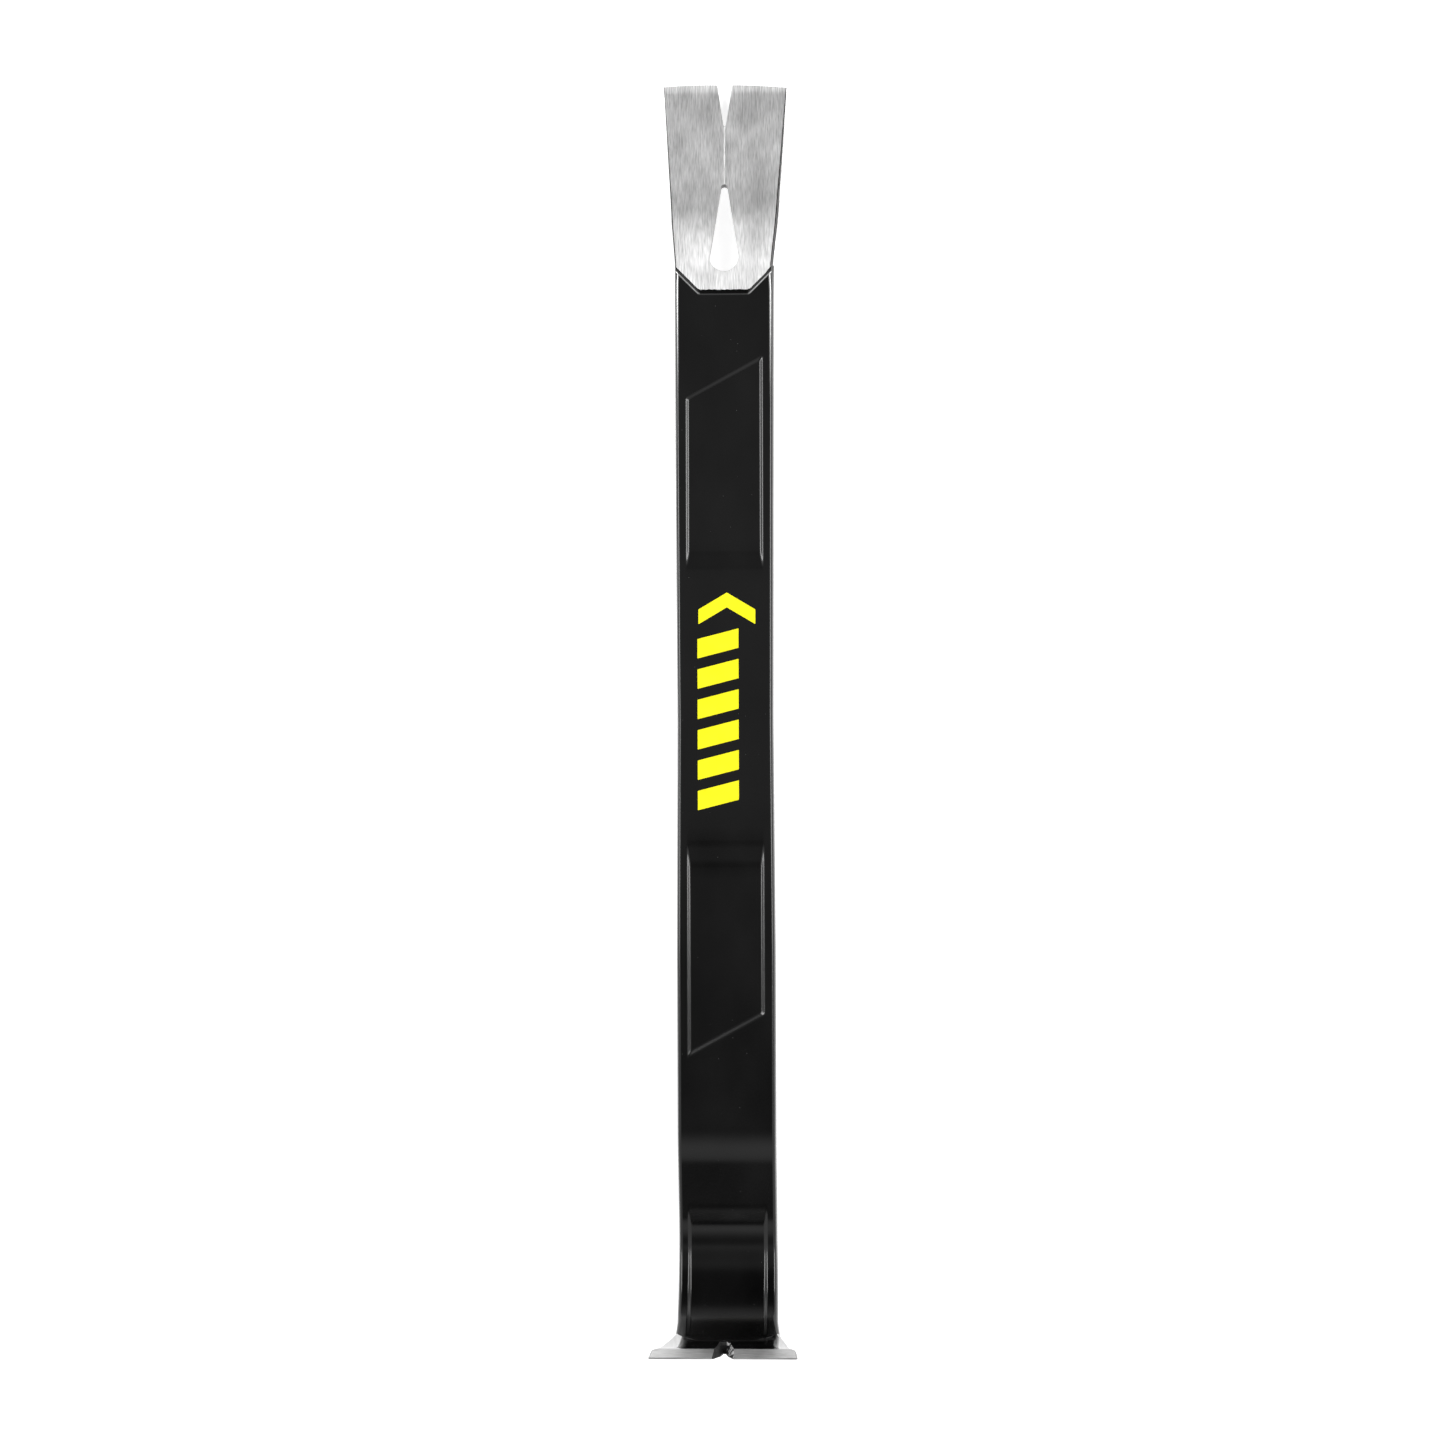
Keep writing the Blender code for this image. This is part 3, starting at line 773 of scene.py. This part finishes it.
def notch_wall():
    """The hook notch's walls: dark scale, with a painted glint of bright metal patches on the +X
    side.
    """
    made, tree, shader = new_material("notch_wall")
    place = add(tree, "ShaderNodeSeparateXYZ", Vector=flat_place(tree))
    # Painted glint: patches of bright metal on the +X wall only, standing in for a reflection.
    glint_patches = grain(tree, (250.0, 420.0, 420.0), 1.0)
    side = spread(tree, place.outputs["X"], GLINT_FROM, GLINT_FULL, 0.02, 1.0)
    glint = times(tree, side, spread(tree, glint_patches, 0.5, 0.56, 0.0, 1.0))
    tone = total(tree, times(tree, glint, 0.7), 0.012)
    plug(tree, shader.inputs["Base Color"], grey(tree, tone))
    plug(tree, shader.inputs["Metallic"], glint)
    shader.inputs["Roughness"].default_value = 0.5
    shader.inputs["Specular IOR Level"].default_value = 0.12
    return made


def yellow_ink():
    """Screen-printed ink: a strong yellow with the mesh's faint texture and thin spots."""
    made, tree, shader = new_material("yellow_ink")
    weave = grain(tree, (1400.0, 1400.0, 1400.0), 1.0)
    cloud = grain(tree, (130.0, 130.0, 130.0), 3.0)
    thin, full = (0.86, 0.79, 0.0, 1.0), (0.95, 0.89, 0.001, 1.0)
    colour = blend(tree, varied(tree, cloud, 0.0, 1.0), thin, full)
    plug(tree, shader.inputs["Base Color"], colour)
    plug(tree, shader.inputs["Roughness"], varied(tree, cloud, 0.42, 0.5))
    emboss(tree, shader, weave, strength=0.3, distance=0.00001)
    return made


COAT = black_coat()
INK = yellow_ink()
STEELS = (
    ground_steel(
        "ground_claw", fine=(1600.0, 150.0, 1600.0), coarse=(650.0, 60.0, 650.0), contrast=0.19,
        colour=0.63, roughness=0.38, anisotropic=0.9, turned=False, depth=0.00001,
    ),
    ground_steel(
        "ground_bevel", fine=(150.0, 2300.0, 2300.0), coarse=(45.0, 900.0, 900.0), contrast=0.12,
        colour=0.62, roughness=0.45, anisotropic=0.5, turned=True, depth=0.00001,
    ),
    ground_steel(
        "polished_hook", fine=(2200.0, 200.0, 2200.0), coarse=(500.0, 80.0, 500.0), contrast=0.03,
        colour=0.60, roughness=0.05, anisotropic=0.0, turned=False, depth=0.0000003,
    ),
)
# Places in the forging's list of materials. WALL is the unground black of its sides and slots.
CLAW_STEEL, BEVEL_STEEL, HOOK_STEEL, WALL, NOTCH = range(5)
FORGING_MATERIALS = (*STEELS, COAT, notch_wall())

# ---- the forging ------------------------------------------------------------------------------

# A point this near the bevel's surface is on it. The rounded edge is bare steel up to LIT_ARC, and
# past it the black of the sides, which there stands partly as painted shade along the edge.
ON_BEVEL = 1e-5
LIT_ARC = math.radians(50)
NOTCH_ZONE_HALF, NOTCH_ZONE_END = 0.008, HOOK_TIP + HOOK_NOTCH_DEPTH + 0.003


def steel_rows():
    """The forging's rows and its inset at each: bare at both claws, a thinner core of coarser mesh
    under the coat, and a step between them just under each end of the coat."""
    s = rows()
    low, high = COAT_HOOK_MIDDLE + COAT_LAP, GRIND_END - COAT_LAP
    core_low, core_high = low + CORE_STEP, high - CORE_STEP
    core = s[(s > core_low) & (s < core_high)][::2][1:-1]
    s = np.concatenate([s[s < low], [low, core_low], core, [core_high, high], s[s > high]])
    return s, np.where((s > low) & (s < high), CORE_INSET, BARE_INSET)


def strip_side(first, second):
    """Which side of the bar the strip of mesh between two ring points is on. The rounded edge counts
    as front up to LIT_ARC; past it, it takes the sides' black, partly as painted shade. The lip of
    the parting band shines like the back."""
    kinds = {first[0], second[0]}
    if kinds == {"top_arc"}:
        return "front" if max(first[1], second[1]) <= LIT_ARC else "edge"
    if kinds <= {"front", "front_out", "top_arc"}:
        return "front"
    if kinds <= {"back", "back_out"} or kinds == {"lip", "band"}:
        return "back"
    return "edge"


def steel_indices(points, s):
    """The material of each quad of the forging's skin."""
    u, t = points[:, :, 1], points[:, :, 2]
    bevelled = (u < HOOK_BEVEL) & (t > -bevel_depth(u) - BARE_INSET - ON_BEVEL)
    both = bevelled & np.roll(bevelled, -1, axis=1)
    hook_or_claw = np.where(s[1:] < 0, HOOK_STEEL, CLAW_STEEL)[:, None]
    front = np.where(both[1:] & both[:-1], BEVEL_STEEL, hook_or_claw)
    sides = np.array([strip_side(*pair) for pair in zip(RING, RING[1:] + RING[:1])])
    return np.where(sides == "front", front, np.where(sides == "back", CLAW_STEEL, WALL))


def mark_notch_walls(mesh):
    """Gives the hook notch's walls a material of their own."""
    for face in mesh.polygons:
        x, u, _ = face.center
        if face.material_index == WALL and u < NOTCH_ZONE_END and abs(x) < NOTCH_ZONE_HALF:
            face.material_index = NOTCH


def make_steel():
    s, inset = steel_rows()
    points = skin(s, inset)
    count, around = points.shape[:2]
    faces = grid_faces(count, around) + end_faces(count, around)
    indices = steel_indices(points, s).ravel().tolist() + [BEVEL_STEEL, CLAW_STEEL]
    steel = object_from("forging", points.reshape(-1, 3), faces, FORGING_MATERIALS, indices)
    for rings in (claw_notch(), teardrop(), hook_notch()):
        cut(steel, rings, WALL)
    mark_notch_walls(steel.data)
    finish_piece(steel, "forged_bar")


# ---- the coat ---------------------------------------------------------------------------------

# Painted highlight on the enamel's rims beside the straight claw: a bright line along the step,
# faint in its middle, and along the front's edge as it nears the claw, where the rounded paint edges
# catch light.
HIGHLIGHT_WIDTH, HIGHLIGHT_LENGTH, HIGHLIGHT_FROM_SIDE, HIGHLIGHT_IN_MIDDLE, HIGHLIGHT_LOW = 0.0004, 0.050, 0.0011, 0.06, -0.0010


def jag(x, phase):
    """The small waver of the paint's edge where the grinding belt ran out. It is least on the
    slanted shoulders."""
    wave = np.sin(x * 2100 + phase) + 0.7 * np.sin(x * 5300 + 2 * phase) + 0.5 * np.sin(x * 900)
    in_middle = np.clip(1 - (np.abs(x) - GRIND_END_HALF) / 0.002, 0, 1)
    return wave * (JAG_LEAST + JAG_MORE * in_middle)


def rim_highlight(points):
    """How strong the painted highlight on the enamel's rims beside the straight claw is, from 0 to
    1.
    """
    x, u, t = points.T
    ahead = past_step(x, u) / HIGHLIGHT_WIDTH
    outward = np.clip((np.abs(x) - GRIND_END_HALF + 0.0006) / 0.0012, 0, 1)
    line = np.clip(1.3 - np.abs(ahead + 0.2), 0, 1)
    line = line * (HIGHLIGHT_IN_MIDDLE + (1 - HIGHLIGHT_IN_MIDDLE) * outward)
    side = along(HALF_WIDTHS, u) - draft(u, 1)
    edge = np.clip(1.2 - np.abs(np.abs(x) - side + HIGHLIGHT_FROM_SIDE) / HIGHLIGHT_WIDTH, 0, 1)
    nearing = np.clip((u - GRIND_END + HIGHLIGHT_LENGTH) / HIGHLIGHT_LENGTH, 0, 1)
    edge = edge * nearing * np.clip(-ahead, 0, 1)
    return np.maximum(line, edge) * (t > HIGHLIGHT_LOW)


def make_coat():
    """A thin sleeve. Its inner surface is never seen, so it has a third of the rows."""
    s = rows()
    between = s[(s > COAT_HOOK_MIDDLE) & (s < GRIND_END)]
    s = np.concatenate([[COAT_HOOK_MIDDLE], between, [GRIND_END]])
    hidden = np.concatenate([s[:-1:3], s[-1:]])
    at_end = (hidden < COAT_HOOK_MIDDLE + COAT_END_ZONE) | (hidden > GRIND_END - COAT_END_ZONE)
    outer = skin(s, np.zeros_like(s))
    inner = skin(hidden, np.where(at_end, COAT_END_THICKNESS, COAT_THICKNESS))
    for layer in (outer, inner):
        for row, phase in ((0, 1.0), (-1, 4.0)):
            layer[row, :, 1] += jag(layer[row, :, 0], phase)
    count, around = outer.shape[:2]
    faces = grid_faces(count, around) + grid_faces(len(hidden), around, count * around)
    faces += joining_faces(0, count, around)
    faces += joining_faces(count - 1, count + len(hidden) - 1, around)
    points = np.concatenate([outer.reshape(-1, 3), inner.reshape(-1, 3)])
    coat = object_from("enamel_coat", points, faces, (COAT,))
    # The rims' painted highlight goes on the mesh as a point attribute.
    coat.data.attributes.new("wear_and_highlight", "FLOAT", "POINT").data.foreach_set("value", rim_highlight(points))
    finish_piece(coat, "black_coat")


# ---- the printed marks ------------------------------------------------------------------------


def make_mark(node, outline):
    """One printed mark with slightly rounded corners, from its outline of (x, u) corners."""
    ring = []
    for i, corner in enumerate(outline):
        here = Vector(corner)
        before = (Vector(outline[i - 1]) - here).normalized() * INK_CORNER
        after = (Vector(outline[(i + 1) % len(outline)]) - here).normalized() * INK_CORNER
        for k in range(INK_CORNER_POINTS):
            p = k / (INK_CORNER_POINTS - 1)
            ring.append(here + before * (1 - p) ** 2 + after * p ** 2)
    around = len(ring)
    points = np.array([(*corner, t) for t in (INK_LOW, INK_HIGH) for corner in ring])
    faces = grid_faces(2, around) + end_faces(2, around)
    mark = object_from("ink_" + node, points, faces, (INK,))
    finish_piece(mark, node)


def make_bar(node):
    """A slanted bar. The frame gives its box."""
    low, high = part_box(node)
    base, top = low.y - ALONG, high.y - ALONG
    outline = (
        (low.x, base),
        (high.x, base + BAR_SLANT),
        (high.x, top),
        (low.x, top - BAR_SLANT),
    )
    make_mark(node, outline)


def make_chevron(node):
    """A chevron that points to the straight claw. The frame gives its box."""
    low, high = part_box(node)
    base, top, middle = low.y - ALONG, high.y - ALONG, (low.x + high.x) / 2
    band = top - base - CHEVRON_RISE
    outline = (
        (low.x, base),
        (middle, base + CHEVRON_RISE),
        (high.x, base),
        (high.x, base + band),
        (middle, top),
        (low.x, base + band),
    )
    make_mark(node, outline)


make_steel()
make_coat()
for number in range(1, BAR_COUNT + 1):
    make_bar(f"print_bar_{number}")
make_chevron("print_chevron")

# ---- floor, light and camera ------------------------------------------------------------------

FLOOR_HALF, FLOOR_GAP, FLOOR_GLOW = 6, 0.0002, 0.65

# One softbox on each side, level with the floor just past the straight claw and aimed at it.
SOFTBOX_SIDE, SOFTBOX_ALONG, SOFTBOX_UP = 0.95, ALONG + 0.38, 0.75
SOFTBOX_LENGTH, SOFTBOX_HEIGHT, SOFTBOX_RADIANCE = 1.1, 0.36, 8.8

# The room overhead: (y of the direction, radiance). PALE is round the horizon and to the sides.
OVERHEAD = (
    (-1.0, 0.5), (-0.85, 0.45), (-0.73, 0.38), (-0.67, 0.0), (-0.565, 0.0), (-0.53, 0.62),
    (-0.36, 0.7), (-0.27, 0.4), (-0.2, 0.13), (-0.12, 0.075), (-0.09, 0.065), (-0.047, 0.13),
    (-0.025, 0.3), (0.0, 0.45), (0.034, 0.37), (0.07, 0.24), (0.2, 0.2), (0.36, 0.25),
    (0.5, 0.04), (0.85, 0.02), (0.95, 0.04), (1.0, 0.5),
)
PALE = 0.88

FOCAL_LENGTH, SENSOR_WIDTH = 105.1, 36.0
CAMERA_DISTANCE, CAMERA_TILT, CAMERA_ROLL = 2.0, math.radians(2.5), math.radians(-0.17)
CAMERA_AIM = Vector((-0.0012, ALONG - 0.0004, SHANK_FRONT))


def make_floor():
    half = FLOOR_HALF
    corners = [(-half, -half, 0), (half, -half, 0), (half, half, 0), (-half, half, 0)]
    mesh = bpy.data.meshes.new("floor")
    mesh.from_pydata(corners, [], [(0, 1, 2, 3)])
    floor = bpy.data.objects.new("floor", mesh)
    floor.location.z = cad_box[0].z - FLOOR_GAP
    bpy.context.scene.collection.objects.link(floor)
    made, _, shader = new_material("pale_floor")
    shader.inputs["Base Color"].default_value = (0.75, 0.75, 0.75, 1.0)
    shader.inputs["Roughness"].default_value = 0.9
    shader.inputs["Specular IOR Level"].default_value = 0.0
    shader.inputs["Emission Color"].default_value = (1.0, 1.0, 1.0, 1.0)
    shader.inputs["Emission Strength"].default_value = FLOOR_GLOW
    mesh.materials.append(made)


def make_softbox(way):
    """A rectangular light whose length runs along Y, at +X or -X by way."""
    data = bpy.data.lights.new("side_light", "AREA")
    data.shape = "RECTANGLE"
    data.size, data.size_y = SOFTBOX_LENGTH, SOFTBOX_HEIGHT
    data.energy = SOFTBOX_RADIANCE * math.pi * SOFTBOX_LENGTH * SOFTBOX_HEIGHT
    place = Vector((way * SOFTBOX_SIDE, SOFTBOX_ALONG, SOFTBOX_UP))
    aim = Vector((0, SOFTBOX_ALONG, 0))
    light = bpy.data.objects.new("side_light", data)
    light.location = place
    light.rotation_mode = "QUATERNION"
    light.rotation_quaternion = (aim - place).to_track_quat("-Z", "Y")
    bpy.context.scene.collection.objects.link(light)


def pale_share(tree, direction):
    """Where the room is pale: at the horizon, and to the sides. Part of the sides is dimmer."""
    x, y, z = (direction.outputs[axis] for axis in "XYZ")
    beside = spread(tree, maths(tree, "ABSOLUTE", x), 0.25, 0.5, 0.0, 1.0)
    lit = maths(
        tree, "MAXIMUM",
        spread(tree, y, 0.42, 0.54, 1.0, 0.3),
        spread(tree, y, 0.57, 0.70, 0.3, 0.9),
    )
    lit = maths(tree, "MAXIMUM", lit, spread(tree, z, 0.35, 0.45, 1.0, 0.0))
    low = spread(tree, z, 0.0, 0.03, 1.0, 0.0)
    return maths(tree, "MAXIMUM", times(tree, beside, lit), low)


def make_world():
    """A dim room overhead and a pale one round the horizon, by the direction looked in."""
    world = bpy.data.worlds.new("room")
    bpy.context.scene.world = world
    world.use_nodes = True
    tree = world.node_tree
    way = add(tree, "ShaderNodeTexCoord").outputs["Generated"]
    direction = add(tree, "ShaderNodeSeparateXYZ", Vector=way)
    place = spread(tree, direction.outputs["Y"], -1.0, 1.0, 0.0, 1.0)
    overhead = add(tree, "ShaderNodeValToRGB", Fac=place)
    elements = overhead.color_ramp.elements
    while len(elements) < len(OVERHEAD):
        elements.new(0.5)
    for element, (y, level) in zip(elements, OVERHEAD):
        element.position = (y + 1) / 2
        element.color = (level, level, level, 1.0)
    pale = (PALE, PALE, PALE, 1.0)
    colour = blend(tree, pale_share(tree, direction), overhead.outputs["Color"], pale)
    plug(tree, tree.nodes["Background"].inputs["Color"], colour)


def make_camera():
    """Straight above the bar, apart from a small tilt and roll."""
    data = bpy.data.cameras.new("camera")
    data.lens, data.sensor_width = FOCAL_LENGTH, SENSOR_WIDTH
    data.clip_start, data.clip_end = 0.05, 50.0
    camera = bpy.data.objects.new("camera", data)
    back = Vector((math.sin(CAMERA_TILT), 0, math.cos(CAMERA_TILT)))
    up = Vector((0, 1, 0))
    turned = Matrix((up.cross(back), up, back)).transposed() @ Matrix.Rotation(CAMERA_ROLL, 3, "Z")
    moved = Matrix.Translation(CAMERA_AIM + CAMERA_DISTANCE * back)
    camera.matrix_world = moved @ turned.to_4x4()
    bpy.context.scene.collection.objects.link(camera)
    bpy.context.scene.camera = camera


make_floor()
make_world()
for side in (-1, 1):
    make_softbox(side)
make_camera()
bpy.context.scene.view_settings.view_transform = "Standard"
